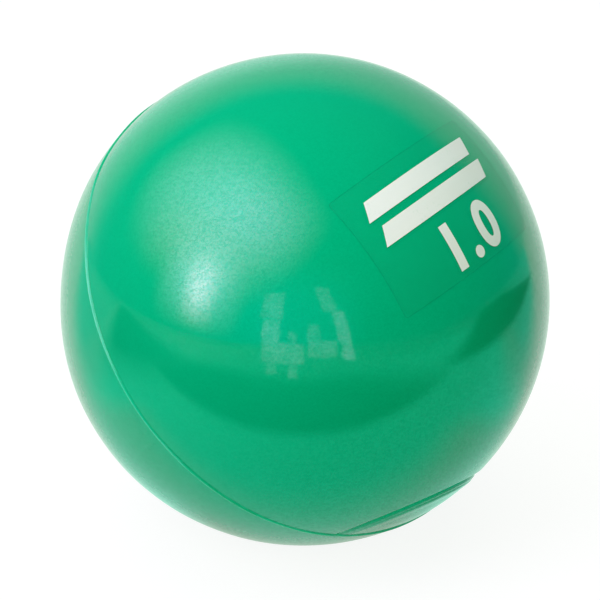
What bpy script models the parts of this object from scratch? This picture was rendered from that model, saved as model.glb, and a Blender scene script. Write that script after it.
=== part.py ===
"""Soft shot: a sand-filled PVC ball, resting on the small flat that its weight presses.

The skin is turned about the ball's pole axis, which leans as the ball lies. A neck is moulded inwards at the
lower pole and a barbed plug closes it. Sand lies inside with a level top, and a clear film is stuck round the
upper pole. Metres, +Z up, with the origin in the middle of the flat that the ball rests on.
"""

import math

import bmesh
import bpy
from mathutils import Matrix, Vector

# Ball and skin
BALL_DIAMETER = 0.110
SKIN_WALL = 0.004
REST_FLAT_DIAMETER = 0.028
BEAD_HEIGHT = 0.00035
BEAD_WIDTH = 0.0013
GAP = 0.0003

# How the ball lies: where its upper pole points, measured from the horizontal and from -Y towards +X
POLE_ELEVATION = math.radians(37.2)
POLE_AZIMUTH = math.radians(43.2)

# Filling neck at the lower pole, and the plug in it
NECK_BORE_DIAMETER = 0.008
NECK_WALL = 0.0025
NECK_LENGTH = 0.009
HEAD_DIAMETER = 0.018
HEAD_THICKNESS = 0.002
STEM_DIAMETER = 0.006
RIB_COUNT = 3
RIB_PITCH = 0.0028
RIB_LENGTH = 0.0012
BARB_DIAMETER = 0.0096
BARB_LENGTH = 0.0042
BARB_TIP_DIAMETER = 0.0044

# Sand, whose level top leaves this much air under the highest point of the skin
AIR_SPACE_HEIGHT = 0.0136

# Clear label film round the upper pole
LABEL_WIDTH = 0.0445
LABEL_HEIGHT = 0.0305
LABEL_CORNER = 0.0007
LABEL_TURN = math.radians(13.5)
LABEL_SHIFT = Vector((-0.0010, -0.0016))
FILM_THICKNESS = 0.0002

# Crease: part of a ring pressed into the soft skin, low on the side that faces the viewer. The lean turns its
# middle to the left of the ring's highest point, and the fullness below 1 keeps it deep until near its ends.
CREASE_ELEVATION = math.radians(-58)
CREASE_AZIMUTH = math.radians(46)
CREASE_ARC_RADIUS = 0.022
CREASE_LEAN = math.radians(16)
CREASE_LENGTH = 0.046
CREASE_DEPTH = 0.0011
CREASE_END_DEPTH = 0.0002
CREASE_FULLNESS = 0.7

# How finely the round forms are faceted
SKIN_STEPS = 80
SKIN_ARC_STEPS = 20
CAVITY_STEPS = 40
CAVITY_ARC_STEPS = 20
BEAD_ARC_STEPS = 4
PLUG_STEPS = 32
HEAD_ARC_STEPS = 4
CREASE_STEPS = 20
FILM_CELLS = (12, 8)
FILM_CORNER_STEPS = 3
ROUND_PROFILE = 0.5

# Points closer than this are one
WELD_DISTANCE = 0.00001

# Worked out from the sizes above
BALL_RADIUS = BALL_DIAMETER / 2
CAVITY_RADIUS = BALL_RADIUS - SKIN_WALL
CENTRE_HEIGHT = math.sqrt(BALL_RADIUS**2 - (REST_FLAT_DIAMETER / 2) ** 2)
NECK_OUTER_RADIUS = NECK_BORE_DIAMETER / 2 + NECK_WALL
NECK_TOP = -CAVITY_RADIUS + NECK_LENGTH
SEAT_RADIUS = HEAD_DIAMETER / 2 + GAP
SEAT_TOP = -BALL_RADIUS + HEAD_THICKNESS + GAP
SAND_TOP = CENTRE_HEIGHT + CAVITY_RADIUS - AIR_SPACE_HEIGHT


def clear_scene():
    """Removes what the startup file holds."""
    for leftover in list(bpy.data.objects):
        bpy.data.objects.remove(leftover)


def new_collection(name):
    """Makes a collection in the scene."""
    group = bpy.data.collections.new(name)
    bpy.context.scene.collection.children.link(group)
    return group


def plain_material(name, colour, roughness):
    """A Principled material with one colour and one roughness."""
    material = bpy.data.materials.new(name)
    material.use_nodes = True
    shader = material.node_tree.nodes["Principled BSDF"]
    shader.inputs["Base Color"].default_value = (*colour, 1.0)
    shader.inputs["Roughness"].default_value = roughness
    shader.inputs["Metallic"].default_value = 0.0
    return material


def place(mesh, name, group, parent=None):
    """Puts a mesh into a collection as an object, at its parent."""
    piece = bpy.data.objects.new(name, mesh)
    group.objects.link(piece)
    piece.parent = parent
    return piece


def make_cutter(piece):
    """Marks an object as a guide that only cuts others."""
    piece.hide_render = True
    piece.display_type = "WIRE"
    return piece


def arc(radius, start, end, steps):
    """Points (distance from the axis, height) of a sphere's outline between two latitudes."""
    latitudes = [start + (end - start) * i / steps for i in range(steps + 1)]
    return [(radius * math.cos(a), radius * math.sin(a)) for a in latitudes]


def sphere_height(radius, distance):
    """Height over the equator of a sphere's upper half at a distance from its axis."""
    return math.sqrt(radius**2 - distance**2)


def turned(name, outline, steps, group, parent):
    """Turns an outline, which runs down its outer side, about the parent's Z axis."""
    mesh = bpy.data.meshes.new(name)
    edges = [(i, i + 1) for i in range(len(outline) - 1)]
    mesh.from_pydata([(distance, 0.0, height) for distance, height in outline], edges, [])
    piece = place(mesh, name, group, parent)
    screw = piece.modifiers.new("turn", "SCREW")
    screw.steps = steps
    screw.render_steps = steps
    screw.use_merge_vertices = True
    screw.merge_threshold = WELD_DISTANCE
    return piece


def cut(piece, cutter):
    """Takes the cutter's space out of a piece."""
    boolean = piece.modifiers.new("cut_" + cutter.name, "BOOLEAN")
    boolean.operation = "DIFFERENCE"
    boolean.solver = "EXACT"
    boolean.object = cutter


def block(name, low, high, group):
    """A box that reaches past the ball on every side, between two heights."""
    mesh = bpy.data.meshes.new(name)
    half = BALL_DIAMETER
    model = bmesh.new()
    bmesh.ops.create_cube(model, size=1.0)
    bmesh.ops.scale(model, vec=(2 * half, 2 * half, high - low), verts=model.verts)
    bmesh.ops.translate(model, vec=(0, 0, (low + high) / 2), verts=model.verts)
    model.to_mesh(mesh)
    model.free()
    return make_cutter(place(mesh, name, group))


def direction(elevation, azimuth):
    """Unit vector at an elevation, turned from -Y towards +X."""
    flat = math.cos(elevation)
    return Vector((flat * math.sin(azimuth), -flat * math.cos(azimuth), math.sin(elevation)))


def tangent_frame(outward, azimuth):
    """Rotation whose Z points outward, X runs level to the viewer's right and Y runs up the ball."""
    level = Vector((math.cos(azimuth), math.sin(azimuth), 0.0))
    upward = outward.cross(level)
    return Matrix((level, upward, outward)).transposed().to_4x4()


def pole_axis(group):
    """Empty at the ball's centre, with its Z towards the upper pole."""
    axis = bpy.data.objects.new("pole_axis", None)
    axis.empty_display_size = BALL_RADIUS
    group.objects.link(axis)
    lean = tangent_frame(direction(POLE_ELEVATION, POLE_AZIMUTH), POLE_AZIMUTH)
    axis.matrix_world = Matrix.Translation((0, 0, CENTRE_HEIGHT)) @ lean
    return axis


def bead_outline():
    """The parting line's bead, which stands out of the skin as half a wave."""
    shares = [1 - 2 * i / BEAD_ARC_STEPS for i in range(1, BEAD_ARC_STEPS)]
    crest = [BEAD_HEIGHT * math.cos(share * math.pi / 2) for share in shares]
    return [(BALL_RADIUS + rise, share * BEAD_WIDTH / 2) for rise, share in zip(crest, shares)]


def skin_outline():
    """The ball's outside, pole to pole, with the parting line's bead round its equator."""
    bead_edge = math.asin(BEAD_WIDTH / 2 / BALL_RADIUS)
    upper = arc(BALL_RADIUS, math.pi / 2, bead_edge, SKIN_ARC_STEPS)
    lower = [(distance, -height) for distance, height in reversed(upper)]
    return on_axis(upper + bead_outline() + lower)


def on_axis(outline):
    """Brings the two ends of an outline exactly onto the axis."""
    return [(0.0, outline[0][1]), *outline[1:-1], (0.0, outline[-1][1])]


def cavity_outline(clearance, neck_outline):
    """The hollow, or what fills it with a clearance, drawn in round the neck at the lower pole."""
    radius = CAVITY_RADIUS - clearance
    neck_root = -sphere_height(radius, neck_outline[0][0])
    root_latitude = math.asin(neck_root / radius)
    wall = arc(radius, math.pi / 2, root_latitude, CAVITY_ARC_STEPS)
    return on_axis(wall + neck_outline)


def neck_outline(clearance):
    """The neck's outer wall, up to its inner end."""
    radius = NECK_OUTER_RADIUS + clearance
    top = NECK_TOP + clearance
    return [(radius, top), (0.0, top)]


def sand_neck_outline():
    """What the sand leaves free: the neck, and above it the plug's barb."""
    neck_radius = NECK_OUTER_RADIUS + GAP
    neck_top = NECK_TOP + GAP
    barb_radius = BARB_DIAMETER / 2 + GAP
    barb_top = NECK_TOP + GAP + BARB_LENGTH + GAP
    return [
        (neck_radius, neck_top),
        (barb_radius, neck_top),
        (barb_radius, neck_top + GAP),
        (BARB_TIP_DIAMETER / 2 + GAP, barb_top),
        (0.0, barb_top),
    ]


def fill_hole_outline():
    """The bore through the neck and the wider seat for the plug's head, run out past the skin."""
    outer_end = -BALL_RADIUS - SKIN_WALL
    bore = NECK_BORE_DIAMETER / 2
    inner_end = NECK_TOP + NECK_WALL
    passage = [(0.0, inner_end), (bore, inner_end), (bore, SEAT_TOP)]
    seat = [(SEAT_RADIUS, SEAT_TOP), (SEAT_RADIUS, outer_end), (0.0, outer_end)]
    return passage + seat


def plug_outline():
    """Barb, ribbed stem and a head that carries on the ball's curve, from its tip outwards."""
    stem = STEM_DIAMETER / 2
    crest = NECK_BORE_DIAMETER / 2 - GAP
    barb_base = NECK_TOP + GAP
    head_top = -BALL_RADIUS + HEAD_THICKNESS
    barb = [
        (0.0, barb_base + BARB_LENGTH),
        (BARB_TIP_DIAMETER / 2, barb_base + BARB_LENGTH),
        (BARB_DIAMETER / 2, barb_base),
        (stem, barb_base),
    ]
    ribs = []
    bore_middle = (NECK_TOP + SEAT_TOP) / 2
    for i in range(RIB_COUNT):
        middle = bore_middle + ((RIB_COUNT - 1) / 2 - i) * RIB_PITCH
        ribs.append((stem, middle + RIB_LENGTH / 2))
        ribs.append((crest, middle))
        ribs.append((stem, middle - RIB_LENGTH / 2))
    rim = math.acos(HEAD_DIAMETER / 2 / BALL_RADIUS)
    face = arc(BALL_RADIUS, -rim, -math.pi / 2, HEAD_ARC_STEPS)
    return on_axis(barb + ribs + [(stem, head_top), (HEAD_DIAMETER / 2, head_top)] + face)


def wrap(point, radius):
    """Lays a flat point of the label on a sphere round the pole, keeping its distance from the pole."""
    along = Vector(point) + LABEL_SHIFT
    distance = along.length
    if distance == 0.0:
        return Vector((0.0, 0.0, radius))
    angle = distance / BALL_RADIUS
    sideways = along / distance * radius * math.sin(angle)
    return Vector((sideways.x, sideways.y, radius * math.cos(angle)))


def label_film(group, axis):
    """Clear rectangular film with rounded corners, laid round the upper pole."""
    model = bmesh.new()
    across, up = FILM_CELLS
    bmesh.ops.create_grid(model, x_segments=across, y_segments=up, size=0.5)
    bmesh.ops.scale(model, vec=(LABEL_WIDTH, LABEL_HEIGHT, 1.0), verts=model.verts)
    corners = [v for v in model.verts if len(v.link_edges) == 2]
    rounding = {"offset": LABEL_CORNER, "segments": FILM_CORNER_STEPS, "profile": ROUND_PROFILE}
    bmesh.ops.bevel(model, geom=corners, affect="VERTICES", **rounding)
    turn = Matrix.Rotation(LABEL_TURN, 2)
    for vertex in model.verts:
        vertex.co = wrap(turn @ vertex.co.xy, BALL_RADIUS + GAP)
    mesh = bpy.data.meshes.new("label_film")
    model.to_mesh(mesh)
    model.free()
    film = place(mesh, "label_film", group, axis)
    thickness = film.modifiers.new("thickness", "SOLIDIFY")
    thickness.thickness = FILM_THICKNESS
    thickness.offset = 1.0
    return film


def crease_cutter(group):
    """A round bead along an arc on the skin, fine at both ends, that presses the crease."""
    outward = direction(CREASE_ELEVATION, CREASE_AZIMUTH)
    frame = tangent_frame(outward, CREASE_AZIMUTH).to_3x3()
    opening = math.asin(CREASE_ARC_RADIUS / BALL_RADIUS)
    half_turn = CREASE_LENGTH / CREASE_ARC_RADIUS / 2
    curve = bpy.data.curves.new("crease_route", "CURVE")
    curve.dimensions = "3D"
    curve.bevel_depth = CREASE_DEPTH
    curve.bevel_resolution = 2
    curve.use_fill_caps = True
    spline = curve.splines.new("POLY")
    spline.points.add(CREASE_STEPS)
    for i, point in enumerate(spline.points):
        share = i / CREASE_STEPS
        turn = math.pi / 2 + CREASE_LEAN + half_turn * (1 - 2 * share)
        ring = Vector((math.cos(turn), math.sin(turn), 0.0)) * math.sin(opening)
        local = ring + Vector((0.0, 0.0, math.cos(opening)))
        point.co = (*(frame @ local * BALL_RADIUS + Vector((0, 0, CENTRE_HEIGHT))), 1.0)
        swell = math.sin(math.pi * share) ** CREASE_FULLNESS
        point.radius = (CREASE_END_DEPTH + (CREASE_DEPTH - CREASE_END_DEPTH) * swell) / CREASE_DEPTH
    route = place(curve, "crease_route", group)
    solid = bpy.data.meshes.new_from_object(route.evaluated_get(bpy.context.evaluated_depsgraph_get()))
    bpy.data.objects.remove(route)
    model = bmesh.new()
    model.from_mesh(solid)
    bmesh.ops.remove_doubles(model, verts=model.verts, dist=WELD_DISTANCE)
    bmesh.ops.recalc_face_normals(model, faces=model.faces)
    model.to_mesh(solid)
    model.free()
    return make_cutter(place(solid, "crease", group))


def finish(piece, material):
    """Gives a piece its material and smooth round faces."""
    piece.data.materials.append(material)
    for face in piece.data.polygons:
        face.use_smooth = True


def build():
    """Makes the ball's pieces and the guides that cut them."""
    clear_scene()
    ball = new_collection("soft_shot")
    guides = new_collection("cutters")
    axis = pole_axis(guides)

    floor = block("floor", -BALL_RADIUS, 0.0, guides)
    cavity_floor = block("cavity_floor", -BALL_RADIUS, SKIN_WALL, guides)
    sand_floor = block("sand_floor", -BALL_RADIUS, SKIN_WALL + GAP, guides)
    air_space = block("air_space", SAND_TOP, SAND_TOP + BALL_DIAMETER, guides)

    cavity = turned("cavity", cavity_outline(0.0, neck_outline(0.0)), CAVITY_STEPS, guides, axis)
    make_cutter(cavity)
    cut(cavity, cavity_floor)
    fill_hole = turned("fill_hole", fill_hole_outline(), PLUG_STEPS, guides, axis)
    make_cutter(fill_hole)

    shell = turned("shell", skin_outline(), SKIN_STEPS, ball, axis)
    cut(shell, floor)
    cut(shell, cavity)
    cut(shell, fill_hole)
    cut(shell, crease_cutter(guides))

    plug = turned("filler_plug", plug_outline(), PLUG_STEPS, ball, axis)
    sand = turned("sand_fill", cavity_outline(GAP, sand_neck_outline()), CAVITY_STEPS, ball, axis)
    cut(sand, sand_floor)
    cut(sand, air_space)
    film = label_film(ball, axis)

    finish(shell, plain_material("pearl_pvc", (0.0, 0.44, 0.22), 0.3))
    finish(plug, plain_material("plug_pvc", (0.0, 0.36, 0.18), 0.4))
    finish(sand, plain_material("dry_sand", (0.62, 0.50, 0.35), 0.95))
    finish(film, plain_material("clear_film", (0.10, 0.50, 0.30), 0.15))


build()
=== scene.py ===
"""Dresses the soft shot: green skin, plug, sand, clear label film and printed mark, in a pale studio.

Lengths are in metres. Angles are in degrees, but latitudes and longitudes round the ball's pole in radians.
The ball rests at the origin. An elevation is measured up from the floor, and an azimuth from -Y, where the
viewer stands, towards +X.
"""

import logging
import math
from collections.abc import Callable
from dataclasses import dataclass
from enum import Enum

import bmesh
import bpy
import numpy as np
from mathutils import Matrix, Vector


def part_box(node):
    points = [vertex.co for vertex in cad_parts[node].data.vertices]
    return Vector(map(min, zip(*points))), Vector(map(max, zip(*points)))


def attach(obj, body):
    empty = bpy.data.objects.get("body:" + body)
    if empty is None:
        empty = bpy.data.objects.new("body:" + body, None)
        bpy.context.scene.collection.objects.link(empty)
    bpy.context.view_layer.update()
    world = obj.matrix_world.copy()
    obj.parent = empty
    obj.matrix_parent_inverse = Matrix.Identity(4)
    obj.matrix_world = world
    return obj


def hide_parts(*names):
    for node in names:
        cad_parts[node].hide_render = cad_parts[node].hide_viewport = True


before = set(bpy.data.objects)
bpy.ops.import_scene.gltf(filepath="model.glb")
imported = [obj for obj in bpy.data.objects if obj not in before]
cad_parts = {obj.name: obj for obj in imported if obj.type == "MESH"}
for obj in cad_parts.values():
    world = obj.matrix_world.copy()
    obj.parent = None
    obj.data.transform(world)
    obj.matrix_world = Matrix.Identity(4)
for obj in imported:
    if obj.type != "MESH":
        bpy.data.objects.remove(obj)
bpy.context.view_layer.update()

LOG = logging.getLogger("soft_shot")
PICTURE_SIDE = 600
SHARP_ANGLE = math.radians(50)
GRADING_STEPS = 6000

Array = np.ndarray
Colour = tuple[float, float, float]
Material = bpy.types.Material
Mesh = bpy.types.Mesh
Socket = bpy.types.NodeSocket


class Slot(Enum):
    """The record's material slots."""

    PEARL = "pearl_pvc"
    PLUG = "plug_pvc"
    SAND = "dry_sand"
    FILM = "clear_film"


def direction(elevation: float, azimuth: float) -> Array:
    """Unit vector at an elevation and an azimuth."""
    up, turn = math.radians(elevation), math.radians(azimuth)
    return np.array([math.cos(up) * math.sin(turn), -math.cos(up) * math.cos(turn), math.sin(up)])


def tangent_frame(outward: Array) -> Array:
    """Axes at a unit vector, as columns: level to the viewer's right, up the ball, and outward."""
    level = np.array([-outward[1], outward[0], 0.0]) / np.hypot(*outward[:2])
    return np.column_stack([level, np.cross(outward, level), outward])


def bell(distance: Array, width: float | Array) -> Array:
    """Bell curve: e to the power of minus the square of distance over width."""
    return np.exp(-((distance / width) ** 2))


def plateau(distance: Array, width: float) -> Array:
    """Bell with a flat top: e to the power of minus the sixth power of distance over width."""
    return np.exp(-((distance / width) ** 6))


def wrapped(angle: Array) -> Array:
    """The same angles in radians, between minus and plus half a turn."""
    return np.angle(np.exp(1j * angle))


def even_turns(count: int) -> Array:
    """Angles in radians that share out a full turn evenly."""
    return np.arange(count) * 2 * math.pi / count


def graded(low: float, high: float, count: int, density: Callable[[Array], Array]) -> Array:
    """Positions between two ends that lie closer together where a density is greater.

    The density's running total is cut into equal shares.

    Args:
        low: First position.
        high: Last position.
        count: How many positions.
        density: Gives the density at an array of positions.

    Returns:
        The positions, from low to high.
    """
    fine = np.linspace(low, high, GRADING_STEPS)
    weight = density(fine)
    total = np.concatenate([[0.0], np.cumsum((weight[1:] + weight[:-1]) / 2 * np.abs(np.diff(fine)))])
    return np.interp(np.linspace(0.0, total[-1], count), total, fine)


def carried_round(profile: Array, turns: Array) -> Array:
    """Carries a profile round an axis: cosine and sine of each turn times the distance, at the same height.

    Args:
        profile: Distance from the axis and height along it, n by 2.
        turns: Angles round the axis in radians, of which there are m.

    Returns:
        The points, n by m by 3.
    """
    distance, height = profile[:, :1], np.broadcast_to(profile[:, 1:], (len(profile), len(turns)))
    return np.stack([distance * np.cos(turns), distance * np.sin(turns), height], axis=-1)


def mesh_from(name: str, points: Array, faces: list) -> Mesh:
    """Makes a smooth mesh.

    Args:
        name: The mesh's name.
        points: Its corners, n by 3.
        faces: The corner numbers of each face.

    Returns:
        The mesh.
    """
    mesh = bpy.data.meshes.new(name)
    mesh.from_pydata(points.tolist(), [], faces)
    mesh.validate()
    mesh.shade_smooth()
    return mesh


def turned_mesh(name: str, rows: Array, first_pole: Array, last_pole: Array) -> Mesh:
    """Closes rings of points, which run down the outside of a form, into one skin with a point at each end.

    Args:
        name: The mesh's name.
        rows: Rings of points, n by m by 3, each ring running anticlockwise seen from the first end.
        first_pole: The point that closes the first ring.
        last_pole: The point that closes the last ring.

    Returns:
        The closed mesh.
    """
    count, around = rows.shape[:2]
    index = np.arange(count * around).reshape(count, around)
    beside = np.roll(index, -1, axis=1)
    quads = np.stack([index[:-1], index[1:], beside[1:], beside[:-1]], axis=-1).reshape(-1, 4)
    first = np.full(around, count * around)
    top = np.stack([first, index[0], beside[0]], axis=-1)
    bottom = np.stack([index[-1], first + 1, beside[-1]], axis=-1)
    points = np.concatenate([rows.reshape(-1, 3), [first_pole, last_pole]])
    return mesh_from(name, points, quads.tolist() + top.tolist() + bottom.tolist())


def add_attribute(mesh: Mesh, name: str, values: Array) -> None:
    """Stores an attribute of a mesh's points: the values in order, and zero for the points after them."""
    every = np.pad(values, (0, len(mesh.vertices) - len(values))).astype(np.float32)
    mesh.attributes.new(name, "FLOAT", "POINT").data.foreach_set("value", every)


def linked(name: str, data: bpy.types.ID) -> bpy.types.Object:
    """Makes an object and puts it into the scene.

    Args:
        name: The object's name.
        data: Its mesh, curve, light or camera.

    Returns:
        The object.
    """
    made = bpy.data.objects.new(name, data)
    bpy.context.scene.collection.objects.link(made)
    return made


def add_piece(mesh: Mesh, material: Material, slot: Slot, *nodes: str) -> bpy.types.Object:
    """Puts a piece into the scene on the ball's only body.

    Args:
        mesh: Its mesh, with its place in it.
        material: Its finish.
        slot: The record's slot that the finish belongs to; not used.
        nodes: The solids that it stands for.

    Returns:
        The piece.
    """
    piece = linked(mesh.name, mesh)
    mesh.materials.append(material)
    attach(piece, "root")
    if nodes:
        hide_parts(*nodes)
    LOG.info("%s: %d faces", piece.name, len(mesh.polygons))
    return piece


class Graph:
    """Short calls that add nodes to a node tree and join them."""

    def __init__(self, tree: bpy.types.NodeTree) -> None:
        """Starts on a tree."""
        self.tree = tree

    def node(self, kind: str, inputs: dict | None = None, **settings: object) -> bpy.types.Node:
        """Adds a node.

        Args:
            kind: The node's type, without its ShaderNode beginning.
            inputs: A value or another node's output for each input, by name or number.
            settings: The node's own settings.

        Returns:
            The node.
        """
        node = self.tree.nodes.new("ShaderNode" + kind)
        for name, value in settings.items():
            setattr(node, name, value)
        self.fill(node, inputs or {})
        return node

    def fill(self, node: bpy.types.Node, inputs: dict) -> None:
        """Feeds a node's inputs, by name or number."""
        for name, value in inputs.items():
            self.feed(node.inputs[name], value)

    def feed(self, socket: Socket, value: object) -> None:
        """Joins an output to an input, or sets the input's own value.

        Args:
            socket: The input.
            value: The output, a number, a vector, or an opaque colour of three numbers.
        """
        if isinstance(value, Socket):
            self.tree.links.new(value, socket)
        else:
            socket.default_value = (*value, 1.0) if socket.type == "RGBA" else value

    def show(self, shader: Socket) -> None:
        """Puts a shader on the surface."""
        self.fill(self.tree.nodes["Material Output"], {"Surface": shader})

    def place(self, kind: str = "Object") -> Socket:
        """Place on the piece, or another kind of texture coordinate."""
        return self.node("TexCoord").outputs[kind]

    def attribute(self, name: str) -> Socket:
        """The piece's own attribute of a name."""
        return self.node("Attribute", attribute_name=name).outputs["Fac"]

    def math(self, operation: str, *values: object) -> Socket:
        """Output of a Math node."""
        return self.node("Math", dict(enumerate(values)), operation=operation).outputs[0]

    def vector(self, operation: str, *values: object) -> Socket:
        """Output of a Vector Math node."""
        return self.node("VectorMath", dict(enumerate(values)), operation=operation).outputs[0]

    def scaled(self, vector: Socket, amount: object) -> Socket:
        """A vector made longer or shorter."""
        return self.node("VectorMath", {0: vector, "Scale": amount}, operation="SCALE").outputs[0]

    def along(self, vector: Socket, axis: Array) -> Socket:
        """How far a vector reaches along an axis."""
        return self.node("VectorMath", {0: vector, 1: axis.tolist()}, operation="DOT_PRODUCT").outputs[1]

    def spread(self, value: Socket, low: float, high: float, to_low: float, to_high: float) -> Socket:
        """A value carried softly from one range to another, and held inside it."""
        ends = {"Value": value, "From Min": low, "From Max": high, "To Min": to_low, "To Max": to_high}
        return self.node("MapRange", ends, interpolation_type="SMOOTHSTEP").outputs[0]

    def noise(self, place: Socket, scale: object, detail: float) -> bpy.types.NodeOutputs:
        """Value and colour of a Noise texture."""
        return self.node("TexNoise", {"Vector": place, "Scale": scale, "Detail": detail}).outputs

    def cells(self, place: Socket, scale: object) -> bpy.types.NodeOutputs:
        """Distance and random colour of a texture of small cells."""
        return self.node("TexVoronoi", {"Vector": place, "Scale": scale}, feature="F1").outputs

    def blended(self, share: object, first: object, second: object) -> Socket:
        """Two colours mixed."""
        return self.node("Mix", {0: share, 6: first, 7: second}, data_type="RGBA").outputs[2]


class EffectGroup:
    """A shared shader effect, built once, with named inputs and outputs."""

    def __init__(self, name: str, inputs: dict[str, float], outputs: dict[str, str]) -> None:
        """Makes the group's tree and its sockets.

        Args:
            name: The group's name.
            inputs: Each number that it takes, with its usual value.
            outputs: Each output, with its socket's kind, Float or Vector.
        """
        self.tree = bpy.data.node_groups.new(name, "ShaderNodeTree")
        sockets = self.tree.interface
        for label, usual in inputs.items():
            taken = sockets.new_socket(name=label, in_out="INPUT", socket_type="NodeSocketFloat")
            taken.default_value = usual
        for label, kind in outputs.items():
            sockets.new_socket(name=label, in_out="OUTPUT", socket_type="NodeSocket" + kind)
        self.graph = Graph(self.tree)
        self.taken = self.tree.nodes.new("NodeGroupInput").outputs
        self.given = self.tree.nodes.new("NodeGroupOutput").inputs

    def give(self, **results: Socket) -> None:
        """Joins each result to the output of its name."""
        for label, value in results.items():
            self.graph.feed(self.given[label.capitalize()], value)

    def placed(self, graph: Graph, **values: float) -> bpy.types.NodeOutputs:
        """Outputs of the effect in a material, with values of its own."""
        inputs = {label.capitalize(): value for label, value in values.items()}
        return graph.node("Group", inputs, node_tree=self.tree).outputs


def flake_group() -> EffectGroup:
    """Mica flakes in the vinyl: small cells, each with a tone and a tilt of its own.

    Returns:
        The group, with outputs Tone, from 0 to 1, and Normal.
    """
    numbers = {"Fineness": 3200.0, "Tilt": 0.03}
    group = EffectGroup("pearl_flakes", numbers, {"Tone": "Float", "Normal": "Vector"})
    graph = group.graph
    random = graph.cells(graph.place(), group.taken["Fineness"])["Color"]
    tilt = graph.scaled(graph.vector("SUBTRACT", random, (0.5, 0.5, 0.5)), group.taken["Tilt"])
    normal = graph.vector("ADD", graph.node("NewGeometry").outputs["Normal"], tilt)
    tone = graph.node("SeparateColor", {0: random}).outputs["Red"]
    group.give(tone=tone, normal=graph.vector("NORMALIZE", normal))
    return group


def handling_group() -> EffectGroup:
    """Marks of use: clouds of dust and grease, and fine scuffs, which are specks that lie in patches.

    Returns:
        The group, with outputs Cloud and Scuff, both from 0 to 1.
    """
    numbers = {"Reach": 45.0, "Grain": 900.0}
    patch_ends, speck_ends = (0.52, 0.72), (0.55, 0.75)
    group = EffectGroup("handling_marks", numbers, {"Cloud": "Float", "Scuff": "Float"})
    graph = group.graph
    place = graph.place()
    cloud = graph.noise(place, group.taken["Reach"], 4.0)[0]
    patches = graph.spread(graph.noise(place, group.taken["Reach"], 3.0)[0], *patch_ends, 0.0, 1.0)
    specks = graph.spread(graph.noise(place, group.taken["Grain"], 3.0)[0], *speck_ends, 0.0, 1.0)
    group.give(cloud=cloud, scuff=graph.math("MULTIPLY", patches, specks))
    return group


@dataclass(frozen=True)
class Finish:
    """A Principled finish, whose even values stand on the shader's own sockets."""

    name: str
    roughness: float
    coat: float = 0.0
    coat_roughness: float = 0.05
    specular: float = 0.5
    specular_tint: Colour = (1.0, 1.0, 1.0)

    def start(self) -> tuple[Material, Graph, bpy.types.Node]:
        """Makes the material.

        Returns:
            The material, its graph and its Principled node.
        """
        material = bpy.data.materials.new(self.name)
        material.use_nodes = True
        graph = Graph(material.node_tree)
        shader = material.node_tree.nodes["Principled BSDF"]
        even = {"Roughness": self.roughness, "Metallic": 0.0, "Specular IOR Level": self.specular}
        coat = {"Coat Weight": self.coat, "Coat Roughness": self.coat_roughness}
        graph.fill(shader, {**even, **coat, "Specular Tint": self.specular_tint})
        return material, graph, shader


@dataclass(frozen=True)
class PearlVinyl(Finish):
    """Pearl green vinyl: mica flakes under a clear, even gloss."""

    deep: Colour = (0.0, 0.405, 0.180)
    light: Colour = (0.0, 0.455, 0.205)
    # Paler green painted on the parting bead's crest, as a highlight.
    crest_highlight_tint: Colour = (0.05, 0.64, 0.36)
    fineness: float = 3200.0
    tilt: float = 0.03
    flake_share: float = 0.75
    sparkle: float = 0.45
    cloud_rough: float = 0.06
    scuff_loss: float = 0.12

    def build(self, flakes: EffectGroup, handling: EffectGroup) -> Material:
        """Colours each flake between deep and light, and lets marks of use dull the gloss a little.

        Where the piece's own attribute for the bead's crest says so, the colour turns to a paler green, which
        is a painted highlight, and where its attribute dulled says so, the gloss goes.

        Args:
            flakes: The flake effect.
            handling: The effect of marks of use.

        Returns:
            The material.
        """
        material, graph, shader = self.start()
        flake = flakes.placed(graph, fineness=self.fineness, tilt=self.tilt)
        marks = handling.placed(graph)
        clouds = graph.math("MULTIPLY", marks["Cloud"], 1.0 - self.flake_share)
        tone = graph.math("MULTIPLY_ADD", flake["Tone"], self.flake_share, clouds)
        body = graph.blended(tone, self.deep, self.light)
        # Painted highlight: the parting bead's crest turns paler green.
        colour = graph.blended(graph.attribute("crest_highlight"), body, self.crest_highlight_tint)
        even = self.roughness - self.cloud_rough / 2
        rough = graph.math("MULTIPLY_ADD", marks["Cloud"], self.cloud_rough, even)
        low, rise = self.coat * (1.0 - self.sparkle), self.coat * 2.0 * self.sparkle
        sparkle = graph.math("MULTIPLY_ADD", flake["Tone"], rise, low)
        gloss = graph.math("MULTIPLY_ADD", marks["Scuff"], -self.scuff_loss, sparkle)
        clean = graph.math("SUBTRACT", 1.0, graph.attribute("dulled"))
        coat = graph.math("MULTIPLY", gloss, clean)
        graph.fill(shader, {"Base Color": colour, "Roughness": rough, "Coat Weight": coat})
        graph.fill(shader, {"Normal": flake["Normal"]})
        return material


@dataclass(frozen=True)
class DrySand(Finish):
    """Washed dry sand: pale, brown and grey grains."""

    pale: Colour = (0.66, 0.54, 0.38)
    brown: Colour = (0.34, 0.23, 0.13)
    grains: float = 1600.0
    grain_height: float = 0.0003
    bump: float = 0.6

    def build(self) -> Material:
        """Gives each grain a tone and a height of its own.

        Returns:
            The material.
        """
        material, graph, shader = self.start()
        cells = graph.cells(graph.place(), self.grains)
        tone = graph.node("SeparateColor", {0: cells["Color"]}).outputs["Green"]
        height = {"Height": cells["Distance"], "Strength": self.bump, "Distance": self.grain_height}
        bump = graph.node("Bump", height, invert=True).outputs[0]
        graph.fill(shader, {"Base Color": graph.blended(tone, self.brown, self.pale), "Normal": bump})
        return material


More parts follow.
